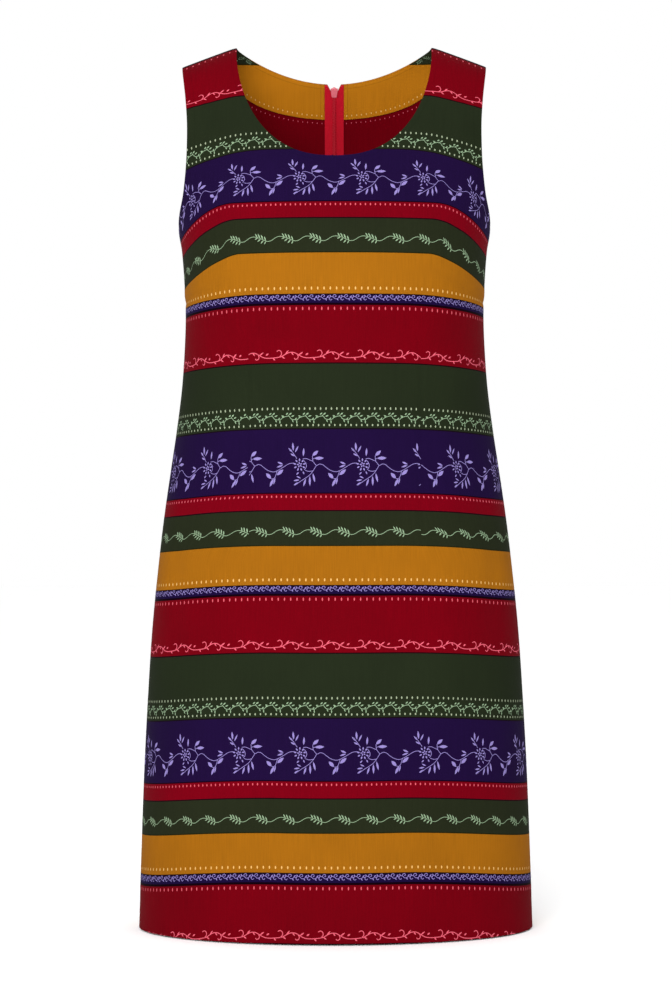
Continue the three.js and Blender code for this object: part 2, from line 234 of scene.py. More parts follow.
def across_lengths(side):
    """Length of the level line from the centre to each share of the half width, at each drop."""
    drops = DROPS[::15]
    x = half_at(drops)[:, None] * WIDE
    angle = angle_at(x, drops[:, None])
    points = skin(side, angle, np.sqrt(drops)[:, None] + 0 * angle)[..., :2]
    steps = np.linalg.norm(np.diff(points, axis=1), axis=-1)
    return drops, np.concatenate([np.zeros((len(drops), 1)), np.cumsum(steps, axis=1)], axis=1)


CENTRE = {side: centre_lengths(side) for side in (FRONT, BACK)}
ACROSS = {side: across_lengths(side) for side in (FRONT, BACK)}


def along_dart(drop):
    """1 half way down a waist dart, 0 at its ends and beyond them."""
    return np.sin(pi * np.clip((drop - DART_FROM) / (DART_TO - DART_FROM), 0, 1))


def grain(side, x, drop):
    """Cloth length from the centre line out to x, with what the waist dart takes up."""
    drops, table = ACROSS[side]
    row = np.clip(drop / (drops[1] - drops[0]), 0, len(drops) - 1.001)
    column = np.clip(np.abs(x) / half_at(drop), 0, 1) * (len(WIDE) - 1.001)
    i, j = row.astype(int), column.astype(int)
    s, t = row - i, column - j
    upper = table[i, j] * (1 - t) + table[i, j + 1] * t
    lower = table[i + 1, j] * (1 - t) + table[i + 1, j + 1] * t
    hidden = DART_INTAKE[side] * along_dart(drop) ** 0.9 * (np.abs(x) > DART_X)
    return upper * (1 - s) + lower * s + hidden


# ---------------------------------------------------------------- the print on the cloth

# One repeat of the print, from the top of the wide red stripe down: name, start in mm, colour
STRIPES = [
    ("wide_red", 0, "#5A0009"),
    ("forest_green", 57, "#191F12"),
    ("purple", 119, "#15072A"),
    ("narrow_red", 180, "#5F000C"),
    ("leaf_green", 197, "#1B1F12"),
    ("mustard", 230, "#83500B"),
    ("narrow_purple", 269.5, "#11062A"),
]
REPEAT = 278.5
TRAP = 1.1             # neighbouring inks overlap by this much, in a dark line

# Which place of the print lies at which drop on the centre line. The back is cut from another
# part of the repeat, with a wide red stripe from behind the facing on down.
BACK_RED_DROPS = (43, 98.5)
BACK_RED_LENGTHS = np.interp(BACK_RED_DROPS, DROPS, CENTRE[BACK])
LEVELS = {
    FRONT: np.array([
        (0, -277.6), (3, -275.8), (10, -265.5), (40, -236.5), (53.6, -221.5), (111, -159.5),
        (164.3, -98.5), (180.2, -81.5), (214.2, -48.5), (254.8, -9), (263.8, 0), (319.6, 57),
        (382.4, 119), (444.5, 180), (460.7, 197), (494.7, 230), (533.3, 269.5), (542, 278.5),
        (597.7, 335.5), (659.7, 397.5), (720.1, 458.5), (736.5, 475.5), (769.7, 508.5),
        (808.6, 548), (818.3, 557), (877, 615.4),
    ]),
    BACK: np.array([
        (0, -BACK_RED_LENGTHS[0]), (BACK_RED_DROPS[0], 0), (BACK_RED_DROPS[1], 57),
        (HEM_DROP, 57 + CENTRE[BACK][-1] - BACK_RED_LENGTHS[1]),
    ]),
}

# How far a stripe hangs below its level at the side: level, where that starts, sag, power
SAGS = {
    FRONT: np.array([
        (0, 90, 0, 2), (54, 90, -1.6, 2), (111, 60, 15, 2), (165, 98, 31, 2), (182, 94, 36, 1.8),
        (214, 92, 30, 1.5), (228, 90, 27, 1.5), (246, 80, 9, 1.8), (257, 70, 6.5, 2),
        (321, 50, 5.5, 2), (384, 50, 6, 2), (495, 55, 7.7, 2), (600, 55, 9, 2),
        (720, 55, 11.5, 2), (877, 55, 15, 2),
    ]),
    BACK: np.array([
        (0, 90, 0, 2), (60, 90, 4, 2), (180, 60, 8, 2), (300, 55, 6, 2), (500, 55, 8, 2),
        (877, 55, 14, 2),
    ]),
}
MOST_SAG = 60          # more than any sag
SAG_PAST_SIDE = 1.2    # share of the way to the side at which a sag stops growing
PAST_SIDE = 8          # how far beyond the side a place is looked for
PLACE_FIT = 0.4        # a place that is off by more than this isn't on the panel


def sag(side, level, x):
    rows = SAGS[side]
    start, most, power = (np.interp(level, rows[:, 0], rows[:, c]) for c in (1, 2, 3))
    share = np.clip((np.abs(x) - start) / (half_at(level) - start), 0, SAG_PAST_SIDE)
    return most * share ** power


def print_knots(side):
    """Lengths down the centre line, and the places of the print that lie there."""
    rows = LEVELS[side]
    return np.interp(rows[:, 0], DROPS, CENTRE[side]), rows[:, 1]


def print_at(side, level):
    lengths, places = print_knots(side)
    return np.interp(np.interp(level, DROPS, CENTRE[side]), lengths, places)


def level_of(side, printed):
    lengths, places = print_knots(side)
    return np.interp(np.interp(printed, places, lengths), CENTRE[side], DROPS)


def halved(low, high, too_high):
    """The value, by halving, above which too_high holds."""
    for _ in range(24):
        middle = (low + high) / 2
        over = too_high(middle)
        low, high = np.where(over, low, middle), np.where(over, middle, high)
    return (low + high) / 2


def level_at(side, x, drop):
    """The level on the centre line that the print has at a point of the cloth."""
    low = np.clip(drop - MOST_SAG, 0, HEM_DROP)
    high = np.clip(drop + 1, 0, HEM_DROP)
    return halved(low, high, lambda level: level + sag(side, level, x) > drop)


def cloth_place(side, u, printed):
    """Where a point of the flat print lies on the worn cloth: x, drop, and whether it shows."""
    level = level_of(side, printed)
    wanted = np.abs(u)

    def drop_at(x):
        return np.clip(level + sag(side, level, x), 0, HEM_DROP)

    limit = half_at(level) + PAST_SIDE
    x = halved(0 * wanted, limit, lambda x: grain(side, x, drop_at(x)) > wanted)
    x = np.minimum(x, half_at(drop_at(x)))
    drop = drop_at(x)
    places = LEVELS[side][:, 1]
    shows = np.abs(grain(side, x, drop) - wanted) < PLACE_FIT
    shows &= (printed >= places[0]) & (printed <= places[-1])
    return np.sign(u) * x, drop, shows


# ---------------------------------------------------------------- lines on the skin


def front_neck_spot(u):
    turn = u * pi / 2
    x = 0 if u >= 1 else NECK_HALF * max(cos(turn), 0) ** (2 / FRONT_NECK_SQUARENESS)
    return spot(x, FRONT_NECK_DROP * sin(turn))


def back_neck_spot(share, u):
    """Curves alongside the back neckline, from it (share 0) to the facing's edge (share 1)."""
    half = NECK_HALF + FACING_SHOULDER_WIDTH * share
    drop = BACK_NECK_DROP + FACING_DEPTH * share
    end = max(NOTCH_HALF * (1 - share * FACING_DEPTH / NOTCH_DROP), SEAM_GAP / 2)
    turn = u * acos(end / half)
    return spot(half * cos(turn), drop * sin(turn) ** 2)


def spot(x, drop):
    return np.array([float(angle_at(x, drop)), drop ** 0.5])


def edge_spot(drop):
    return np.array([float(np.arcsin(edge_share(drop))), drop ** 0.5])


def armhole_spot(start, end, u):
    ease = 1 - (1 - u) ** 2 if end == UNDERARM_DROP else u
    return edge_spot((start ** 0.5 * (1 - ease) + end ** 0.5 * ease) ** 2)


def even_places(side, spot_of, shares):
    """Places on a line of spots, from 0 to 1, at the given shares of its length."""
    places = np.linspace(0, 1, 401)
    spots = np.array([spot_of(u) for u in places])
    points = skin(side, spots[:, 0], spots[:, 1])
    length = np.concatenate([[0], np.cumsum(np.linalg.norm(np.diff(points, axis=0), axis=1))])
    return np.interp(np.asarray(shares) * length[-1], length, places)


def spread(count, length, near_end=True):
    """Shares from 0 to 1, even but for extra lines close to a finished edge."""
    close = np.array([0.4, 1.0, 2.0]) / length
    even = np.linspace(0, 1, count + 1)
    inside = even[(even > close[-1] * 1.3) & (even < 1 - close[-1] * 1.3)]
    last = 1 - close[::-1] if near_end else []
    return np.concatenate([[0], close, inside, last, [1]])


def rows_between(starts, ends, shares):
    """A grid of spots: each row runs from its start to its end."""
    starts, ends = np.array(starts), np.array(ends)
    return starts[:, None] * (1 - shares[None, :, None]) + ends[:, None] * shares[None, :, None]


SKIRT_DROPS = np.concatenate([np.linspace(UNDERARM_DROP, 875, 192)[1:], [876, 876.6, HEM_DROP]])
STRAP_LENGTH = 110     # about; it sets how close the extra lines lie to an edge
PANEL_WIDTH = 170      # likewise, from the centre to the side


def strap_and_body(side, inner, shares, column_count, armhole_drop, centre, yoke_rows):
    """The strap, from its inner edge to the armhole, and all below it, from the centre line out."""
    down = even_places(side, lambda u: armhole_spot(0, armhole_drop, u), shares)
    columns = spread(column_count, PANEL_WIDTH)
    strap = rows_between(inner, [armhole_spot(0, armhole_drop, u) for u in down], columns)

    yoke = np.linspace(0, 1, yoke_rows + 1)[1:]
    low = even_places(side, lambda u: armhole_spot(armhole_drop, UNDERARM_DROP, u), yoke)
    edges = [armhole_spot(armhole_drop, UNDERARM_DROP, u) for u in low]
    edges += [edge_spot(drop) for drop in SKIRT_DROPS]
    centre_x, centre_top = centre
    fall = centre_top + (UNDERARM_DROP - centre_top) * yoke
    middle = [spot(centre_x, drop) for drop in [*fall, *SKIRT_DROPS]]
    return [strap, np.concatenate([strap[-1:], rows_between(middle, edges, columns)])]


def front_grids():
    shares = spread(30, STRAP_LENGTH)
    neck = [front_neck_spot(u) for u in even_places(FRONT, front_neck_spot, shares)]
    return strap_and_body(FRONT, neck, shares, 78, FRONT_NECK_DROP, (0, FRONT_NECK_DROP), 16)


def back_grids():
    shares = spread(26, STRAP_LENGTH)
    steps = even_places(BACK, lambda u: back_neck_spot(0, u), shares)
    across = spread(10, FACING_DEPTH, near_end=False)
    band = np.array([[back_neck_spot(c, u) for c in across] for u in steps])
    centre = (SEAM_GAP / 2, BACK_NECK_DROP + FACING_DEPTH)
    return [band, *strap_and_body(BACK, band[:, -1], shares, 72, BACK_ARMHOLE_DROP, centre, 28)]


# ---------------------------------------------------------------- folds, darts and seams

# Soft folds: side of the body, how far round the cloth, drop, length, half width, height, lean.
# A negative height is a hollow.
FOLDS = [
    (FRONT, -128, 420, 330, 15, 1.7, 0.05),
    (FRONT, -158, 470, 260, 12, -1.3, 0.06),
    (FRONT, -100, 640, 420, 24, 1.6, 0.04),
    (FRONT, -46, 700, 330, 22, -1.1, 0.02),
    (FRONT, 18, 640, 380, 26, 0.9, -0.01),
    (FRONT, 66, 690, 350, 19, -1.2, -0.03),
    (FRONT, 112, 600, 400, 22, 1.8, -0.05),
    (FRONT, 137, 400, 260, 13, 1.4, -0.04),
    (FRONT, 172, 520, 280, 13, -1.4, -0.08),
    (FRONT, -118, 208, 90, 12, -1.0, 0.25),
    (FRONT, 121, 204, 80, 11, -1.1, -0.28),
    (FRONT, -40, 300, 170, 26, 0.8, 0.02),
    (FRONT, 44, 312, 150, 23, 0.8, -0.03),
    (BACK, -134, 400, 290, 14, 1.6, 0.04),
    (BACK, -70, 650, 400, 24, 1.5, 0.03),
    (BACK, -30, 560, 260, 17, -1.1, 0.01),
    (BACK, 36, 600, 330, 19, -1.0, -0.01),
    (BACK, 88, 640, 420, 23, 1.7, -0.04),
    (BACK, 128, 430, 270, 15, 1.4, -0.05),
    (BACK, 168, 560, 260, 13, -1.3, -0.06),
    (BACK, -166, 540, 300, 14, -1.4, 0.06),
    (BACK, -92, 130, 110, 15, -0.9, 0.22),
    (BACK, 96, 138, 100, 14, -0.9, -0.2),
    (BACK, 52, 330, 120, 20, 0.9, 0.03),
]


def relief(side, x, drop, to_side):
    """How far the cloth stands out of its plain form, folds, darts and seams together."""
    u = np.sign(x) * grain(side, x, drop)
    height = np.zeros_like(x)
    for which, at, middle, length, width, lift, lean in FOLDS:
        if which == side:
            along = np.clip(2 * (drop - middle) / length, -1, 1)
            height += lift * bump(u - at - lean * (drop - middle), width) * (1 - along ** 2) ** 2
    # The side seam holds front and back together, so no fold crosses it
    height *= 1 - bump(to_side, FOLD_FADE)

    within = along_dart(drop)
    from_dart = np.abs(x) - DART_X
    height -= within ** 0.3 * (within > 0) * ridge(from_dart, DART_CREASE)
    height += within ** 2 * ridge(from_dart, DART_FULLNESS)
    for end in (DART_FROM, DART_TO):
        height += ridge(np.hypot(from_dart, (drop - end) / DART_END_STRETCH), DART_END)

    if side == FRONT:
        t = np.clip((np.abs(x) - BUST_DART_TIP_X) / (half_at(drop) - BUST_DART_TIP_X), 0, 1)
        off = drop - BUST_DART_TIP_DROP - (BUST_DART_SEAM_DROP - BUST_DART_TIP_DROP) * t
        dart = ridge(off + BUST_FULLNESS_RISE, BUST_DART_FULLNESS) - ridge(off, BUST_DART_CREASE)
        height += smooth(t / BUST_DART_START) * dart
    else:
        height -= ridge(x, ZIP_SEAM) * (drop > BACK_NECK_DROP)

    pucker = np.sin(2 * pi * drop / PUCKER_PITCH) * ridge(to_side, SIDE_PUCKER)
    height += (drop > UNDERARM_DROP) * (pucker - ridge(to_side, SIDE_SEAM))
    height -= HEM_STEP * smooth((drop - HEM_DROP + HEM_TURNING + 1.5) / 3)
    return height


def distances(points, line):
    tree = KDTree(len(line))
    for i, point in enumerate(line):
        tree.insert(point, i)
    tree.balance()
    return np.array([tree.find(point)[2] for point in points])


def line_points(side, spots):
    spots = np.array(spots)
    return skin(side, spots[:, 0], spots[:, 1])


def edge_lines(side):
    fine = np.linspace(0, 1, 500)
    neck = front_neck_spot if side == FRONT else lambda u: back_neck_spot(0, u)
    places = even_places(side, neck, fine)
    drops = np.linspace(0, UNDERARM_DROP ** 0.5, 700) ** 2
    below = np.linspace(UNDERARM_DROP, HEM_DROP, 900)
    return {
        "neck": line_points(side, [neck(u) for u in places]),
        "armhole": line_points(side, [edge_spot(drop) for drop in drops]),
        "side": line_points(side, [edge_spot(drop) for drop in below]),
    }


LINES = {side: edge_lines(side) for side in (FRONT, BACK)}


def dressed(side, spots):
    """Outer points of the worn cloth for an array of spots, with the print and edge maps."""
    angle, root = spots[:, 0], spots[:, 1]
    plain, out = skin(side, angle, root), outward(side, angle, root)
    x, drop = plain[:, 0], root * root
    lines = LINES[side]
    to_neck, to_armhole, to_side = (distances(plain, lines[k]) for k in ("neck", "armhole", "side"))
    height = relief(side, x, drop, to_side)
    height -= ridge(to_neck, EDGE_ROLL) + ridge(to_armhole, EDGE_ROLL)
    from_shoulder = np.interp(drop, DROPS, CENTRE[side])
    height += ridge(from_shoulder, SHOULDER_ROUND) - ridge(from_shoulder, SHOULDER_SEAM)
    printed = print_at(side, level_at(side, x, drop))
    u = np.sign(x) * grain(side, x, drop)
    points = plain + out * height[:, None]
    # Sewn edges meet at the shoulder and down the side, and the backs meet over the zip
    seam = np.maximum(bump(to_side, SEWN_WIDTH), bump(from_shoulder, SEWN_WIDTH))
    points[:, 1] -= side * SEWN_SHIFT * seam
    if side == BACK:
        points[:, 0] -= SEWN_SHIFT * bump(x - SEAM_GAP / 2, SEWN_WIDTH)
    return {
        "points": points,
        "out": out,
        "print": np.stack([u / REPEAT, printed / REPEAT], -1),
        "edges": np.stack([to_neck, to_armhole], -1) * MM,
    }


# ---------------------------------------------------------------- meshes


def placed(name, data, materials=()):
    """An object in the scene, with its materials."""
    for material in materials:
        data.materials.append(material)
    made = bpy.data.objects.new(name, data)
    bpy.context.scene.collection.objects.link(made)
    return made


def finished(name, mesh, materials):
    data = bpy.data.meshes.new(name)
    mesh.to_mesh(data)
    mesh.free()
    return placed(name, data, materials)


def sewn_in(made, node=None):
    """Fixes a piece to the dress, and hides the node that it stands for, if it has one."""
    if node:
        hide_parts(node)
    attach(made, "dress")
    return made


def sheet_mesh(name, side, patches, material):
    """A sheet, facing outward, from patches: grids of points, rows by columns, with their maps."""
    mesh = bmesh.new()
    maps = [key for key in patches[0] if key in ("print", "edges")]
    layers = {key: mesh.loops.layers.uv.new(key) for key in maps}
    for patch in patches:
        points = patch["points"] * MM
        rows, columns = points.shape[:2]
        verts = [[mesh.verts.new(points[i, j]) for j in range(columns)] for i in range(rows)]
        for i in range(rows - 1):
            for j in range(columns - 1):
                corners = [(i, j), (i, j + 1), (i + 1, j + 1), (i + 1, j)]
                face = mesh.faces.new([verts[a][b] for a, b in corners])
                face.smooth = True
                for loop, (a, b) in zip(face.loops, corners):
                    for key in maps:
                        loop[layers[key]].uv = patch[key][a, b]
    bmesh.ops.remove_doubles(mesh, verts=mesh.verts, dist=0.02 * MM)
    bmesh.ops.dissolve_degenerate(mesh, edges=mesh.edges, dist=0.005 * MM)
    mesh.normal_update()
    if side * sum(face.normal.y * face.calc_area() for face in mesh.faces) < 0:
        bmesh.ops.reverse_faces(mesh, faces=mesh.faces)
    return finished(name, mesh, [material])


def thicken(made, wall):
    solidify = made.modifiers.new("cloth", "SOLIDIFY")
    solidify.thickness = wall * MM
    solidify.offset = -1


def worn(side, grid, mirror, inset=0.0):
    """A patch of the worn cloth, set in from its outer face. A mirror image winds the same way."""
    shape = grid.shape[:2]
    cloth = dressed(side, grid.reshape(-1, 2))
    cloth["points"] -= cloth["out"] * np.broadcast_to(inset, shape).reshape(-1, 1)
    patch = {key: value.reshape(*shape, -1) for key, value in cloth.items()}
    if mirror:
        patch = {key: value[:, ::-1] for key, value in patch.items()}
        for key, flip in (("points", (-1, 1, 1)), ("out", (-1, 1, 1)), ("print", (-1, 1))):
            patch[key] = patch[key] * flip
    return patch


# The hem: how far up its rows of points lie inside, and the cloth's length round the fold
HEM_ROWS = np.array([0.4, 3, 9, 17, 25, HEM_TURNING])
HEM_ROUND = 1.6
HEM_SINK = 0.12


def hem_turning(patch, side, mirror, grid):
    """The hem folded up inside: it goes round the fold and lies on the panel's inner face."""
    bottom, out = patch["points"][-1:], patch["out"][-1:]
    rows = [bottom, *(bottom - out * depth - [0, 0, HEM_SINK] for depth in (0.35, 0.95))]
    for up in HEM_ROWS:
        row = grid[-1:].copy()
        row[..., 1] = (HEM_DROP - up) ** 0.5
        rows.append(worn(side, row, mirror, CLOTH * 2 + 0.1)["points"])
    maps = {key: np.repeat(patch[key][-1:], len(rows), axis=0) for key in ("print", "edges")}
    lengths = np.array([0, 0.4, 1, *np.maximum(HEM_ROWS, HEM_ROUND)])
    maps["print"][..., 1] += lengths[:, None] / REPEAT
    return {"points": np.concatenate(rows), **maps}


def panel(name, side, grids, mirrors):
    """A panel with its hem turned up, on one side of the centre or on both."""
    patches = [worn(side, grid, mirror) for grid in grids for mirror in mirrors]
    for mirror, patch in zip(mirrors, patches[-len(mirrors):]):
        patches.append(hem_turning(patch, side, mirror, grids[-1]))
    return sheet_mesh(name, side, patches, cotton)


# ---------------------------------------------------------------- materials


def srgb(code):
    """A hex colour as linear red, green, blue and alpha."""
    channels = [int(code[i:i + 2], 16) / 255 for i in (1, 3, 5)]
    return (*(c / 12.92 if c <= 0.04045 else ((c + 0.055) / 1.055) ** 2.4 for c in channels), 1)


def add(tree, kind, inputs=(), **settings):
    """Adds a node with its settings. An input is a value, or the node or socket that feeds it."""
    made = tree.nodes.new("ShaderNode" + kind)
    for name, value in settings.items():
        setattr(made, name, value)
    for name, value in inputs.items() if isinstance(inputs, dict) else enumerate(inputs):
        if isinstance(value, bpy.types.Node):
            value = value.outputs[0]
        if isinstance(value, bpy.types.NodeSocket):
            tree.links.new(value, made.inputs[name])
        else:
            made.inputs[name].default_value = value
    return made


def new_material(name):
    material = bpy.data.materials.new(name)
    material.use_nodes = True
    material.node_tree.nodes.clear()
    return material, material.node_tree


COTTON_THREAD = 0.55   # a poplin has about 0.3; coarser, so that it shows
STITCH_LENGTH = 3
STITCH_SHARE = 0.72    # of a stitch's length, where its thread shows
STITCH_HALF_WIDTH = 0.45


def weave_height(tree, u, v, threads):
    """Over and under of a plain weave from two map coordinates that count threads."""
    warp = add(tree, "Math", (u, threads * pi), operation="MULTIPLY")
    weft = add(tree, "Math", (v, threads * pi), operation="MULTIPLY")
    across = add(tree, "Math", (warp,), operation="SINE")
    along = add(tree, "Math", (weft,), operation="SINE")
    return add(tree, "Math", (across, along), operation="MULTIPLY")


def stitch_row(tree, distance, place, along):
    """A row of stitches beside an edge: 1 on its threads, and 1 on the whole of its line."""
    off = add(tree, "Math", (distance, place * MM), operation="SUBTRACT")
    off = add(tree, "Math", (off,), operation="ABSOLUTE")
    line = add(tree, "Math", (off, STITCH_HALF_WIDTH * MM), operation="LESS_THAN")
    dash = add(tree, "Math", (along,), operation="FRACT")
    dash = add(tree, "Math", (dash, STITCH_SHARE), operation="LESS_THAN")
    return add(tree, "Math", (line, dash), operation="MULTIPLY"), line


def printed_cotton(name, stitch_neck, stitch_armhole, stitch_shade, painted_light_gain=1.0):
    """Cotton poplin with a sateen finish, printed: dense, matt colour with a faint soft sheen."""
    material, tree = new_material(name)
    place = add(tree, "UVMap", uv_map="print")
    u, v = add(tree, "SeparateXYZ", (place,)).outputs[:2]
    within = add(tree, "Math", (v,), operation="FRACT")
    ramp = add(tree, "ValToRGB", (within,))
    ramp.color_ramp.interpolation = "CONSTANT"
    stops = ramp.color_ramp.elements
    stops.remove(stops[1])
    colours = [np.array(srgb(code)) for _, _, code in STRIPES]
    for k, (_, start, _) in enumerate(STRIPES):
        overlap = stops.new(start / REPEAT) if k else stops[0]
        overlap.color = np.minimum(colours[k - 1], colours[k]) * (0.6, 0.6, 0.6, 1)
        stops.new((start + TRAP) / REPEAT).color = colours[k]

    # Dye takes a little unevenly, in clouds and along the threads
    clouds = add(tree, "TexNoise", {
        "Vector": add(tree, "TexCoord").outputs["Object"], "Scale": 14, "Detail": 3,
        "Roughness": 0.55})
    stretched = add(tree, "VectorMath", (place, (260, 9, 1)), operation="MULTIPLY")
    threads = add(tree, "TexNoise", {"Vector": stretched, "Scale": 1, "Detail": 2})
    uneven = add(tree, "Math", (clouds, threads))
    # A gain above 1 lightens the whole print: painted light, as on the neck facing
    shade = add(tree, "MapRange", {
        "Value": uneven, "From Min": 0.6, "From Max": 1.4,
        "To Min": 0.88 * painted_light_gain, "To Max": 1.12 * painted_light_gain})
    coloured = add(tree, "VectorMath", (ramp, shade), operation="MULTIPLY")

    to_edge = add(tree, "SeparateXYZ", (add(tree, "UVMap", uv_map="edges"),)).outputs
    along = add(tree, "Math", (u, v))
    along = add(tree, "Math", (along, REPEAT / STITCH_LENGTH), operation="MULTIPLY")
    dash_neck, line_neck = stitch_row(tree, to_edge[0], stitch_neck, along)
    dash_arm, line_arm = stitch_row(tree, to_edge[1], stitch_armhole, along)
    lines = add(tree, "Math", (line_neck, line_arm), operation="MAXIMUM")
    dashes = add(tree, "Math", (dash_neck, dash_arm), operation="MAXIMUM")
    dark = add(tree, "Math", (lines, -stitch_shade, 1.0), operation="MULTIPLY_ADD")
    weave = weave_height(tree, u, v, REPEAT / COTTON_THREAD)
    stitched = add(tree, "Math", (dashes, 1.5, weave), operation="MULTIPLY_ADD")
    sunk = add(tree, "Math", (lines, -2.0, stitched), operation="MULTIPLY_ADD")
    # Cotton's own 0.5 specular level and stronger sheen, then matched to the object's deep colours
    shader = add(tree, "BsdfPrincipled", {
        "Base Color": add(tree, "VectorMath", (coloured, dark), operation="MULTIPLY"),
        "Roughness": add(tree, "MapRange", {"Value": clouds, "To Min": 0.72, "To Max": 0.88}),
        "Normal": add(tree, "Bump", {"Strength": 0.35, "Distance": 0.00008, "Height": sunk}),
        "IOR": 1.5, "Specular IOR Level": 0.015, "Sheen Weight": 0.003, "Sheen Roughness": 0.5})
    add(tree, "OutputMaterial", {"Surface": shader})
    return material


def printed_pigment(name, code):
    """Opaque textile ink lying on the threads: matt, with the weave faintly through it."""
    material, tree = new_material(name)
    grit = add(tree, "TexNoise", {
        "Vector": add(tree, "TexCoord").outputs["Object"], "Scale": 1 / (0.9 * MM), "Detail": 2})
    shader = add(tree, "BsdfPrincipled", {
        "Base Color": srgb(code), "Specular IOR Level": 0.1,
        "Roughness": add(tree, "MapRange", {"Value": grit, "To Min": 0.7, "To Max": 0.9}),
        "Normal": add(tree, "Bump", {"Strength": 0.3, "Distance": 0.00005, "Height": grit})})
    add(tree, "OutputMaterial", {"Surface": shader})
    return material


def zip_tape_cloth():
    """Woven polyester tape: a bright even red, ribbed in a fine herringbone."""
    material, tree = new_material("zip_tape_polyester")
    parts = add(tree, "SeparateXYZ", (add(tree, "TexCoord").outputs["Object"],)).outputs
    zigzag = add(tree, "Math", (parts[0], 1.6 * MM), operation="PINGPONG")
    slanted = add(tree, "Math", (zigzag, parts[2]))
    ribs = add(tree, "Math", (slanted, 2 * pi / (0.8 * MM)), operation="MULTIPLY")
    ribs = add(tree, "Math", (ribs,), operation="SINE")
    shade = add(tree, "MapRange", {
        "Value": ribs, "From Min": -1, "From Max": 1, "To Min": 0.86, "To Max": 1.08})
    shader = add(tree, "BsdfPrincipled", {
        "Base Color": add(tree, "VectorMath", (srgb("#A80A1F")[:3], shade), operation="MULTIPLY"),
        "Roughness": 0.62, "Specular IOR Level": 0.08,
        "Normal": add(tree, "Bump", {"Strength": 0.4, "Distance": 0.0001, "Height": ribs})})
    add(tree, "OutputMaterial", {"Surface": shader})
    return material


def coil_polyester():
    """Extruded polyester monofilament: smooth, satin, dyed to match the tape."""
    material, tree = new_material("zip_coil_polyester")
    noise = add(tree, "TexNoise", {
        "Vector": add(tree, "TexCoord").outputs["Object"], "Scale": 900})
    shader = add(tree, "BsdfPrincipled", {
        "Base Color": srgb("#A80A20"), "IOR": 1.57, "Specular IOR Level": 0.15,
        "Roughness": add(tree, "MapRange", {"Value": noise, "To Min": 0.34, "To Max": 0.5})})
    add(tree, "OutputMaterial", {"Surface": shader})
    return material


def enamelled_zinc():
    """Die-cast zinc with a baked satin enamel, dyed a softer red than the tape."""
    material, tree = new_material("zip_enamelled_zinc")
    noise = add(tree, "TexNoise", {
        "Vector": add(tree, "TexCoord").outputs["Object"], "Scale": 500, "Detail": 3})
    shader = add(tree, "BsdfPrincipled", {
        "Base Color": srgb("#C4606A"), "Coat Weight": 0.3,
        "Roughness": add(tree, "MapRange", {"Value": noise, "To Min": 0.28, "To Max": 0.46}),
        "Normal": add(tree, "Bump", {"Strength": 0.15, "Distance": 0.00005, "Height": noise})})
    add(tree, "OutputMaterial", {"Surface": shader})
    return material


cotton = printed_cotton("printed_cotton", 5.5, 8.5, 0.08)
INKS = {
    "lilac": printed_pigment("ink_lilac", "#776AA0"),
    "mint": printed_pigment("ink_mint", "#778D70"),
    "sage": printed_pigment("ink_sage", "#848E75"),
    "coral": printed_pigment("ink_coral", "#C24F60"),
    "cream": printed_pigment("ink_cream", "#C29654"),
    "rose": printed_pigment("ink_rose", "#B84956"),
}

# ---------------------------------------------------------------- motifs of the print

# Each motif is charted in mm across and up from its middle. A leaf has the place where it starts,
# the way it points in degrees, its length and its width. A stem is a soft curve through places.


def ring(radius, count, first, length, width):
    """Petals that point outward from a circle round the flower's middle."""
    ways = [first + 360 * k / count for k in range(count)]
    return [(radius * cos(radians(a)), radius * sin(radians(a)), a, length, width) for a in ways]


SPRAY = {
    "ink": "lilac",
    "stem_width": 0.52,
    "leaves": [
        (-6.0, 13.2, 95, 7.8, 2.4),
        (-4.4, 11.6, 63, 7.2, 1.8),
        (-6.8, 11.8, 134, 5.8, 1.9),
        (-4.6, 8.2, 151, 5.0, 1.9),
        (3.6, 8.0, 86, 7.8, 2.3),
        (12.4, 8.4, 41, 7.4, 3.9),
        (14.2, 6.0, 2, 9.2, 3.7),
        (12.8, -8.0, -77, 8.8, 2.4),
        (9.8, -10.8, -89, 9.2, 2.4),
        (6.0, -13.2, -108, 7.6, 2.2),
        (-0.2, -14.2, 189, 5.8, 1.9),
        (1.2, -12.8, 154, 4.6, 1.6),
        (-1.4, -16.6, 213, 5.2, 1.7),
        (-0.8, -7.0, 226, 3.4, 1.6),
        (3.2, -6.2, -66, 3.2, 1.5),
        (32.6, -13.0, 134, 7.2, 4.2),
        (38.2, -9.8, 40, 8.4, 4.0),
        (35.0, -13.0, -116, 8.4, 3.0),
        (36.6, -12.2, -104, 6.6, 1.8),
        (44.4, 0.4, 157, 6.0, 2.2),
        (44.2, -0.4, 198, 6.4, 2.0),
        *ring(3.2, 9, 10, 2.9, 1.8),
        *ring(0.5, 5, 30, 2.3, 1.5),
    ],
    "stems": [
        [(3.2, 5.6), (6.6, 5.8), (10.6, 4.2), (13.0, 3.0), (16.2, -0.6), (19.2, 0.6), (22.4, 0),
         (25.4, -2.4), (30, -5.4), (35.4, -6.6), (40.6, -4.6), (44.3, -2.4), (50.3, 1.0),
         (55.2, 1.6)],
        [(16.2, -0.6), (14.4, -3.6), (12.4, -6.6), (9.6, -9.8), (6, -12.4), (1.2, -15.4),
         (-4.6, -19.4)],
        [(5.4, -5.2), (8.4, -6.2), (11.6, -6.0), (13.2, -5.4)],
        [(13.0, 3.0), (12.5, 5.6), (12.4, 8.4)],
        [(12.6, 5.4), (14.4, 6.0)],
        [(-2.6, 5.8), (-4.6, 8.8), (-7.2, 12.4), (-9.8, 15.2)],
        [(4.2, 3.8), (6.3, 1.0), (6.4, -2.2), (4.6, -4.8)],
        [(38.4, -5.8), (37.4, -9.4), (35.6, -12.8), (32.8, -13.2)],
    ],
}
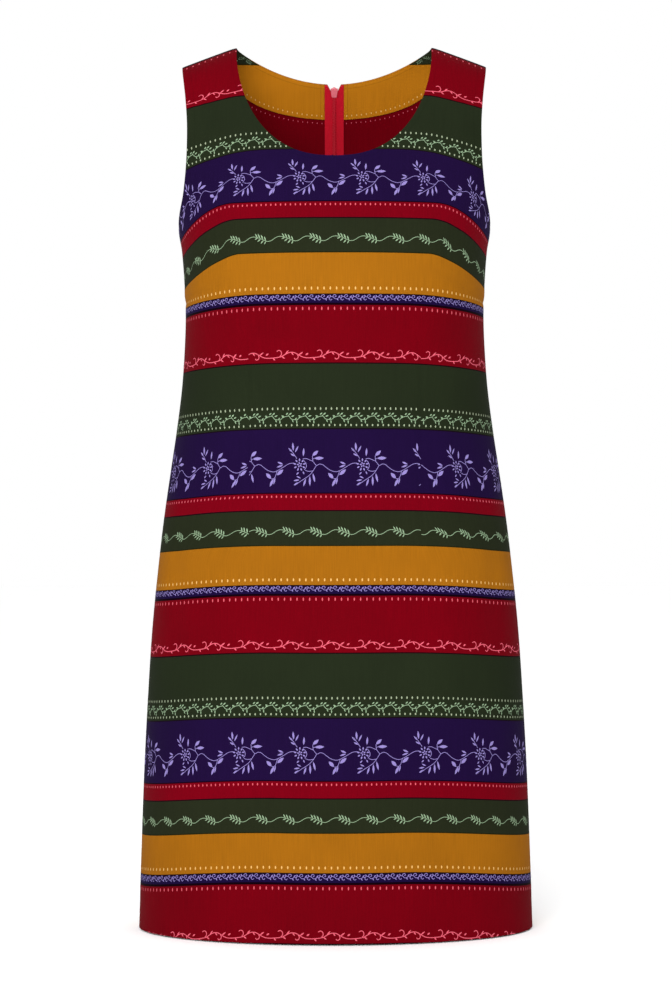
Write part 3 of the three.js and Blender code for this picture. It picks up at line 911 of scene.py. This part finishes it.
LEAFY_VINE = {
    "ink": "mint",
    "stem_width": 0.5,
    "leaves": [
        (-3.8, 2.5, 122, 4.2, 1.4),
        (-1.0, 1.7, 119, 4.8, 1.5),
        (2.0, 0.5, 116, 5.0, 1.6),
        (4.8, -0.9, 112, 4.6, 1.5),
        (-3.2, 2.0, 204, 3.6, 1.3),
        (-0.4, 1.0, 218, 4.2, 1.5),
        (2.4, -0.3, 228, 4.2, 1.5),
        (5.0, -1.2, 238, 3.4, 1.3),
    ],
    "stems": [
        [(-5, 2.7), (-2, 1.9), (1.5, 0.4), (5, -1.1), (8, -1.4), (11, -0.3), (14.5, 1.9),
         (18, 3.0), (21.7, 2.7)],
    ],
}
DENSE_VINE = {
    "ink": "mint",
    "stem_width": 0.55,
    "leaves": [
        (-0.8, 2.4, 40, 3.0, 1.6),
        (2.4, 2.4, 36, 3.2, 1.7),
        (4.4, 0.6, 22, 3.4, 1.5),
        (-2.4, 0.6, 158, 3.0, 1.5),
        (-4.6, -1.2, 62, 3.4, 1.5),
        (5.4, -2.2, -64, 2.8, 1.3),
        (9.8, -2.6, -88, 3.6, 1.3),
        (8.2, -2.2, 48, 2.6, 1.3),
    ],
    "stems": [
        [(-6.3, -2.4), (-4.2, -0.6), (-0.8, 0.9), (2.4, 1.0), (3.8, -0.8), (5.4, -1.9),
         (8, -2.2), (10.2, -2.4)],
        [(1.2, 1.0), (2.4, 2.4)],
    ],
}
CORAL_VINE = {
    "ink": "coral",
    "stem_width": 0.75,
    "leaves": [
        (-12.6, 0.8, 48, 5.2, 1.5),
        (-6.6, 2.6, -52, 3.6, 1.5),
        (0.4, -0.2, 36, 5.4, 1.6),
        (7.0, -0.2, 34, 3.4, 1.9),
        (14.2, -2.8, -46, 3.2, 1.7),
        (-15.8, -1.4, -36, 3.6, 1.6),
    ],
    "stems": [
        [(-19.5, -2.2), (-16, -1.4), (-12.6, 0.6), (-8.6, 2.4), (-4.6, 2.5), (-1.4, 1.2),
         (2.6, -1.2), (6.4, -2.6), (11.2, -2.9), (15.8, -2.6), (19.5, -2.2)],
        [(-18.4, -2.1), (-16.2, 0.6), (-16.6, 3.4), (-18.6, 4.6), (-20.8, 3.6)],
        [(-1.2, 1.1), (0, -1.2), (-0.6, -3.4), (-2.6, -4.2), (-3.8, -3.0)],
    ],
}
SCROLL_VINE = {
    "ink": "lilac",
    "stem_width": 0.5,
    "leaves": [(-3.4, 0.4, 118, 2.4, 1.2), (2.2, -1.0, -52, 2.4, 1.2), (3.6, 0.4, 32, 2.6, 1.2)],
    "stems": [
        [(-5.5, -0.6), (-3.6, 0.8), (-1.4, 0.4), (0.6, -1.2), (2.8, -1.0), (4.4, 0.2), (5.5, -0.6)],
        [(-1.6, 0.5), (-1.0, 2.3), (0.9, 2.5), (1.4, 1.1), (0.2, 0.6)],
        [(-4.4, 0.2), (-5.0, -1.6), (-3.4, -2.4), (-2.4, -1.4)],
    ],
}

LEAF_OUTLINE = [(0, 0), (0.22, 0.28), (0.5, 0.42), (0.78, 0.27), (1, 0), (0.78, -0.27),
                (0.5, -0.42), (0.22, -0.28)]


def turned(points, degrees, across, up):
    c, s = cos(radians(degrees)), sin(radians(degrees))
    return [(across + c * a - s * b, up + s * a + c * b) for a, b in points]


def leaf(across, up, degrees, length, width):
    return turned([(length * a, width * b) for a, b in LEAF_OUTLINE], degrees, across, up)


def dot(across, up, wide, tall):
    return [(across + wide / 2 * cos(pi * k / 4), up + tall / 2 * sin(pi * k / 4))
            for k in range(8)]


def stem(points, width, pieces_each=5):
    """A stem through points, as short four-cornered pieces that can follow the cloth."""
    at = np.array(points, float)
    count = (len(at) - 1) * pieces_each + 1
    t = np.linspace(0, len(at) - 1, count)
    i = np.clip(t.astype(int), 0, len(at) - 2)
    f = (t - i)[:, None]
    before, after = at[np.maximum(i - 1, 0)], at[np.minimum(i + 2, len(at) - 1)]
    a, b = at[i], at[i + 1]
    line = 0.5 * (2 * a + (b - before) * f + (2 * before - 5 * a + 4 * b - after) * f ** 2
                  + (3 * a - before - 3 * b + after) * f ** 3)
    way = np.gradient(line, axis=0)
    way /= np.maximum(np.linalg.norm(way, axis=1, keepdims=True), 1e-9)
    off = np.stack([-way[:, 1], way[:, 0]], -1) * width / 2
    left, right = line + off, line - off
    return [[right[k], right[k + 1], left[k + 1], left[k]] for k in range(count - 1)]


def charted(motif):
    """Every shape of a charted motif: its ink and its corners."""
    shapes = [(motif["ink"], leaf(*row)) for row in motif["leaves"]]
    for line in motif["stems"]:
        shapes += [(motif["ink"], piece) for piece in stem(line, motif["stem_width"])]
    return shapes


def dashes(ink, wide, tall):
    return [(ink, dot(0, 0, wide, tall))]


# Rows of the print: the motif, where its middle lies in the repeat, its pitch and its first place
ROWS = [
    (dashes("rose", 1.3, 3.4), 5.4, 6.1, 0),
    (charted(CORAL_VINE), 50.2, 39, 4),
    (dashes("sage", 1.4, 2.6), 101.2, 5.2, 2),
    (charted(DENSE_VINE), 109.4, 16.5, 3),
    (dashes("sage", 1.5, 2.2), 116.8, 5.2, 0),
    (charted(SPRAY), 154.2, 60.5, -34),
    (dashes("rose", 1.3, 2.5), 184.6, 4.8, 1),
    (charted(LEAFY_VINE), 219.4, 26.7, 9),
    (dashes("cream", 1.5, 3.1), 264.8, 6.0, 2),
    (charted(SCROLL_VINE), 273.6, 11, 0),
]
LIFT = 0.13            # how far the ink stands off the cloth
WIDEST = 330           # more than the cloth's length from the centre to a side
ROW_REACH = 12         # a row of motifs this far past the cloth's ends is left out
LARGEST_SHAPE = 12     # a longer one has been pulled apart by a dart
CENTRE_MARGIN = 0.2
NEAR_CLOTH = 4
PAST_EDGE = 0.5        # a point farther beside the cloth than this is past its edge


def motif_shapes(low, high):
    """Every printed shape between two places of the print: its ink and its corners."""
    for repeat in range(int(low // REPEAT) - 1, int(high // REPEAT) + 2):
        for shapes, middle, pitch, first in ROWS:
            printed = repeat * REPEAT + middle
            if not low - ROW_REACH < printed < high + ROW_REACH:
                continue
            for k in range(int(-WIDEST // pitch) - 2, int(WIDEST // pitch) + 3):
                for ink, corners in shapes:
                    points = np.array(corners, float)
                    yield ink, points[:, 0] + first + k * pitch, printed - points[:, 1]


def laid(tree, point):
    """The place just over the cloth for a printed point, or None where there's no cloth."""
    near, normal, _, _ = tree.find_nearest(Vector(point * MM), NEAR_CLOTH * MM)
    if near is None:
        return None
    off = np.array(near) / MM - point
    beside = off - np.array(normal) * np.dot(off, np.array(normal))
    return None if np.linalg.norm(beside) > PAST_EDGE else near + normal * LIFT * MM


def print_on(name, side, sheet, hand=0):
    """Lays the motifs on a panel, clipped at its edges and darts. Hand is 1 left, -1 right."""
    places = LEVELS[side][:, 1]
    inks, across, down = zip(*motif_shapes(places[0], places[-1]))
    x, drop, shows = cloth_place(side, np.concatenate(across), np.concatenate(down))
    if hand:
        shows &= x * hand > CENTRE_MARGIN
    points = skin(side, angle_at(x, drop), np.sqrt(drop))

    tree = BVHTree.FromObject(sheet, bpy.context.evaluated_depsgraph_get())
    used = sorted(set(inks))
    mesh = bmesh.new()
    end = 0
    for ink, row in zip(inks, across):
        start, end = end, end + len(row)
        if not shows[start:end].all():
            continue
        corners = [laid(tree, point) for point in points[start:end]]
        if any(corner is None for corner in corners):
            continue
        if max((a - b).length for a in corners for b in corners) > LARGEST_SHAPE * MM:
            continue
        face = mesh.faces.new([mesh.verts.new(corner) for corner in corners])
        face.material_index = used.index(ink)
        face.normal_update()
        if face.normal.y * side < 0 and abs(face.normal.y) > 0.05:
            face.normal_flip()
    bmesh.ops.triangulate(mesh, faces=mesh.faces)
    return finished(name, mesh, [INKS[ink] for ink in used])


# ---------------------------------------------------------------- the panels

front = panel("front_panel", FRONT, front_grids(), (False, True))
half_back = back_grids()
back = {
    "left": panel("back_panel_left", BACK, half_back, (False,)),
    "right": panel("back_panel_right", BACK, half_back, (True,)),
}
prints = {
    "front": print_on("front_print", FRONT, front),
    "left": print_on("back_print_left", BACK, back["left"], 1),
    "right": print_on("back_print_right", BACK, back["right"], -1),
}
for made in (front, *back.values()):
    thicken(made, CLOTH)

sewn_in(front, "front")
sewn_in(prints["front"])
for hand in ("left", "right"):
    sewn_in(back[hand], f"back_{hand}")
    sewn_in(prints[hand])

# ---------------------------------------------------------------- back neck facing

# The facing's print is painted 1.48 times lighter than on the panels: painted light, for the light
# that falls inside the neck
facing_cotton_painted_lighter = printed_cotton("printed_cotton_facing_painted_lighter", 4.5, 3.5, 0.2, 1.48)

FACING_INSET = PANEL_WALL + LAYER_GAP
FACING_NECK_INSET = CLOTH + 0.05
FACING_ROLL = 4              # how far from the neck edge it comes to lie flat
FACING_MUSTARD_Z = -11       # its mustard stripe starts this far below the shoulders
# Its lower edge runs flatter than its neck edge: place round the neck, share of the full depth
FACING_REACH = np.array([
    (0, 1), (0.3, 1.1), (0.5, 1.17), (0.62, 1.16), (0.71, 1.085), (0.8, 1), (0.9, 0.935), (1, 0.915),
])


def facing_spot(share, u):
    return back_neck_spot(share * np.interp(u, FACING_REACH[:, 0], FACING_REACH[:, 1]), u)


def make_facing(hand, mirror):
    """The facing rolls in from the neck edge and lies under the band, cut across the mustard."""
    steps = even_places(BACK, lambda u: back_neck_spot(0, u), np.linspace(0, 1, 70))
    shares = spread(14, FACING_DEPTH)
    spots = np.array([[facing_spot(c, u) for c in shares] for u in steps])
    flat = smooth(shares * FACING_DEPTH / FACING_ROLL)
    inset = FACING_NECK_INSET + (FACING_INSET - FACING_NECK_INSET) * flat
    patch = worn(BACK, spots, mirror, inset)
    x, z = patch["points"][..., 0], patch["points"][..., 2]
    beside_tape = np.maximum(np.abs(x), TAPE_HALF + SEAM_GAP)
    patch["points"][..., 0] = np.sign(x) * beside_tape
    # It is topstitched down to the tape as well as round the neck
    patch["edges"][..., 1] = (beside_tape - TAPE_HALF - SEAM_GAP) * MM
    starts = {name: start for name, start, _ in STRIPES}
    below = np.clip(FACING_MUSTARD_Z - z, -12, FACING_DEPTH)
    patch["print"][..., 1] = (starts["mustard"] + below) / REPEAT
    made = sheet_mesh(f"neck_facing_{hand}_cloth", BACK, [patch], facing_cotton_painted_lighter)
    thicken(made, CLOTH)
    return sewn_in(made, f"neck_facing_{hand}")


facings = {"left": make_facing("left", False), "right": make_facing("right", True)}

# Prints seen inside the neck: a row of dashes along a curve beside the neckline has the curve's
# share of the facing's depth, how deep it lies, its count, its ink and the dash's size
INSIDE_ROWS = [
    (0.89, FACING_INSET + CLOTH, 33, "cream", 1.1, 2.0),
    (1.12, CLOTH, 36, "coral", 0.7, 1.5),
]
# Sprigs in the facing's green corner: x, z and turn in degrees
CORNER_SPRIGS = [(94, -5.4, 30), (86, -8.2, -24), (101, -8.4, 18), (110, -9.4, -10)]
SPRIG_SIZE = 0.6             # beside the sprigs of the leafy vine


def facing_print(hand, mirror):
    inks = ["cream", "coral", "mint"]
    mesh = bmesh.new()

    def lay(place, depth, ink, corners):
        out = outward(BACK, *place)
        across = np.array([1.0, 0, 0]) - out * out[0]
        across /= np.linalg.norm(across)
        up = np.cross(out, across)
        base = skin(BACK, *place) - out * (depth + LIFT)
        if abs(base[0]) < TAPE_HALF + 2:
            return
        flip = [-1 if mirror else 1, 1, 1]
        verts = [mesh.verts.new(Vector((base + across * a + up * b) * flip) * MM)
                 for a, b in corners]
        mesh.faces.new(verts).material_index = inks.index(ink)

    for share, depth, count, ink, wide, tall in INSIDE_ROWS:
        shares = (np.arange(count) + 0.5) / count
        for u in even_places(BACK, lambda t: facing_spot(share, t), shares):
            lay(facing_spot(share, u), depth, ink, dot(0, 0, wide, tall))
    for x, z, turn in CORNER_SPRIGS:
        fall = SHOULDER_SLOPE * (x - NECK_HALF + np.hypot(x - NECK_HALF, SHOULDER_SOFTNESS)) / 2
        place = spot(x, max(-z - fall, 1))
        for row in LEAFY_VINE["leaves"]:
            corners = SPRIG_SIZE * np.array(turned(leaf(*row), turn, 0, 0))
            lay(place, FACING_INSET + CLOTH, "mint", corners)
    bmesh.ops.triangulate(mesh, faces=mesh.faces)
    made = finished(f"inside_neck_print_{hand}", mesh, [INKS[ink] for ink in inks])
    return sewn_in(made)


facing_prints = {"left": facing_print("left", False), "right": facing_print("right", True)}

# ---------------------------------------------------------------- zip

tape_cloth = zip_tape_cloth()


def tape(hand, mirror):
    """Half of the tape: from the notch down, thicker along its outer selvedge."""
    drops = np.concatenate([
        np.linspace(BACK_NECK_DROP, BACK_NECK_DROP + NOTCH_DROP, 9),
        np.linspace(BACK_NECK_DROP + NOTCH_DROP, TAPE_END_DROP, 120)[1:],
    ])
    near = np.maximum(NOTCH_HALF * (1 - (drops - BACK_NECK_DROP) / NOTCH_DROP), SEAM_GAP / 2)
    shares = np.linspace(0, 1, 13)
    x = near[:, None] + (TAPE_HALF - near[:, None]) * shares
    drop = drops[:, None] + 0 * x
    angle, root = angle_at(x, drop), np.sqrt(drop)
    room = (TAPE_WALL - TAPE_CLOTH) / 2
    inset = PANEL_WALL + LAYER_GAP + room - room * bump(x - TAPE_HALF + 0.6, 0.5)
    points = skin(BACK, angle, root) - outward(BACK, angle, root) * inset[..., None]
    if mirror:
        points = (points * [-1, 1, 1])[:, ::-1]
    made = sheet_mesh(f"zip_tape_{hand}_cloth", BACK, [{"points": points}], tape_cloth)
    thicken(made, TAPE_CLOTH)
    sewn_in(made, f"zip_tape_{hand}")


tape("left", False)
tape("right", True)

# The rings of a tooth, from its root to its head: place across the coil, radius
TOOTH = [(COIL_HALF, 0.3), (COIL_HALF - 0.3, 0.44), (0.6, 0.42), (0, 0.52), (-0.5, 0.46),
         (-0.72, 0.2)]
TOOTH_SIDES = 6


def coil():
    """Two rows of coil teeth that mesh in the middle, each a rounded bar with a bulged head."""
    mesh = bmesh.new()
    inset = PANEL_WALL + TAPE_WALL + 2 * LAYER_GAP + COIL_WALL / 2
    # The first tooth stands in the slider's mouth
    first = BACK_NECK_DROP + NOTCH_DROP - 0.3
    for k, drop in enumerate(np.arange(first, COIL_END_DROP, COIL_PITCH / 2)):
        way = 1 if k % 2 else -1
        middle = skin(BACK, np.array(0.0), np.array(drop ** 0.5))
        out = outward(BACK, np.array(0.0), np.array(drop ** 0.5))
        down = np.cross([1.0, 0, 0], out)
        rings = []
        for along, radius in TOOTH:
            centre = middle - out * inset + np.array([way * along, 0, 0])
            corners = [centre + out * radius * 1.15 * cos(a) + down * radius * 0.8 * sin(a)
                       for a in (2 * pi * n / TOOTH_SIDES for n in range(TOOTH_SIDES))]
            rings.append([mesh.verts.new(Vector(corner) * MM) for corner in corners])
        for one, two in zip(rings, rings[1:]):
            for n in range(TOOTH_SIDES):
                m = (n + 1) % TOOTH_SIDES
                face = mesh.faces.new([one[n], one[m], two[m], two[n]])
                face.smooth = True
        mesh.faces.new(rings[0])
        mesh.faces.new(rings[-1])
    bmesh.ops.recalc_face_normals(mesh, faces=mesh.faces)
    return finished("zip_coil_teeth", mesh, [coil_polyester()])


sewn_in(coil(), "zip_coil")

enamel = enamelled_zinc()
for name in ("zip_slider", "zip_pull"):
    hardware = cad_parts[name]
    hardware.data.materials.clear()
    hardware.data.materials.append(enamel)
    softened = hardware.modifiers.new("worn_edges", "BEVEL")
    softened.width = 0.12 * MM
    softened.segments = 2

# ---------------------------------------------------------------- floor, light and camera


FLOOR_Z = -0.8785
FLOOR_HALF = 12
CAMERA_PLACE = (0.001, -2.9, -0.456)
CAMERA_ROLL = 0.113    # degrees
VIEW_HEIGHT = 1.008    # metres that the picture takes in at the dress's middle


def stage_floor():
    data = bpy.data.meshes.new("floor")
    corners = [(-1, -1), (1, -1), (1, 1), (-1, 1)]
    data.from_pydata([(FLOOR_HALF * x, FLOOR_HALF * y, FLOOR_Z) for x, y in corners],
                     [], [(0, 1, 2, 3)])
    material, tree = new_material("floor_white_paper")
    shader = add(tree, "BsdfPrincipled", {
        "Base Color": srgb("#FFFFFF"), "Roughness": 0.9, "Specular IOR Level": 0.1})
    add(tree, "OutputMaterial", {"Surface": shader})
    placed("floor", data, [material])


def soft_light(name, place, target, size, power):
    data = bpy.data.lights.new(name, "AREA")
    data.shape = "DISK"
    data.size = size
    data.energy = power
    made = placed(name, data)
    made.location = place
    made.rotation_euler = (Vector(target) - Vector(place)).to_track_quat("-Z", "Y").to_euler()


def white_room(strength):
    world = bpy.data.worlds.new("white_room")
    world.use_nodes = True
    background = world.node_tree.nodes["Background"]
    background.inputs[0].default_value = srgb("#FFFFFF")
    background.inputs[1].default_value = strength
    bpy.context.scene.world = world


def place_camera():
    data = bpy.data.cameras.new("camera")
    data.sensor_width = 36
    data.lens = data.sensor_width * -CAMERA_PLACE[1] / VIEW_HEIGHT
    made = placed("camera", data)
    made.location = CAMERA_PLACE
    made.rotation_euler = (pi / 2, radians(CAMERA_ROLL), 0)
    bpy.context.scene.camera = made


stage_floor()
white_room(1.0)
soft_light("key", (-0.55, -3.2, 0.25), (0, 0, -0.4), 1.6, 100)
soft_light("top", (0, -0.4, 1.9), (0, 0, -0.5), 2.0, 4)
place_camera()
# The inks are given as they look on the cloth, so no film curve is laid over them
bpy.context.scene.view_settings.view_transform = "Standard"
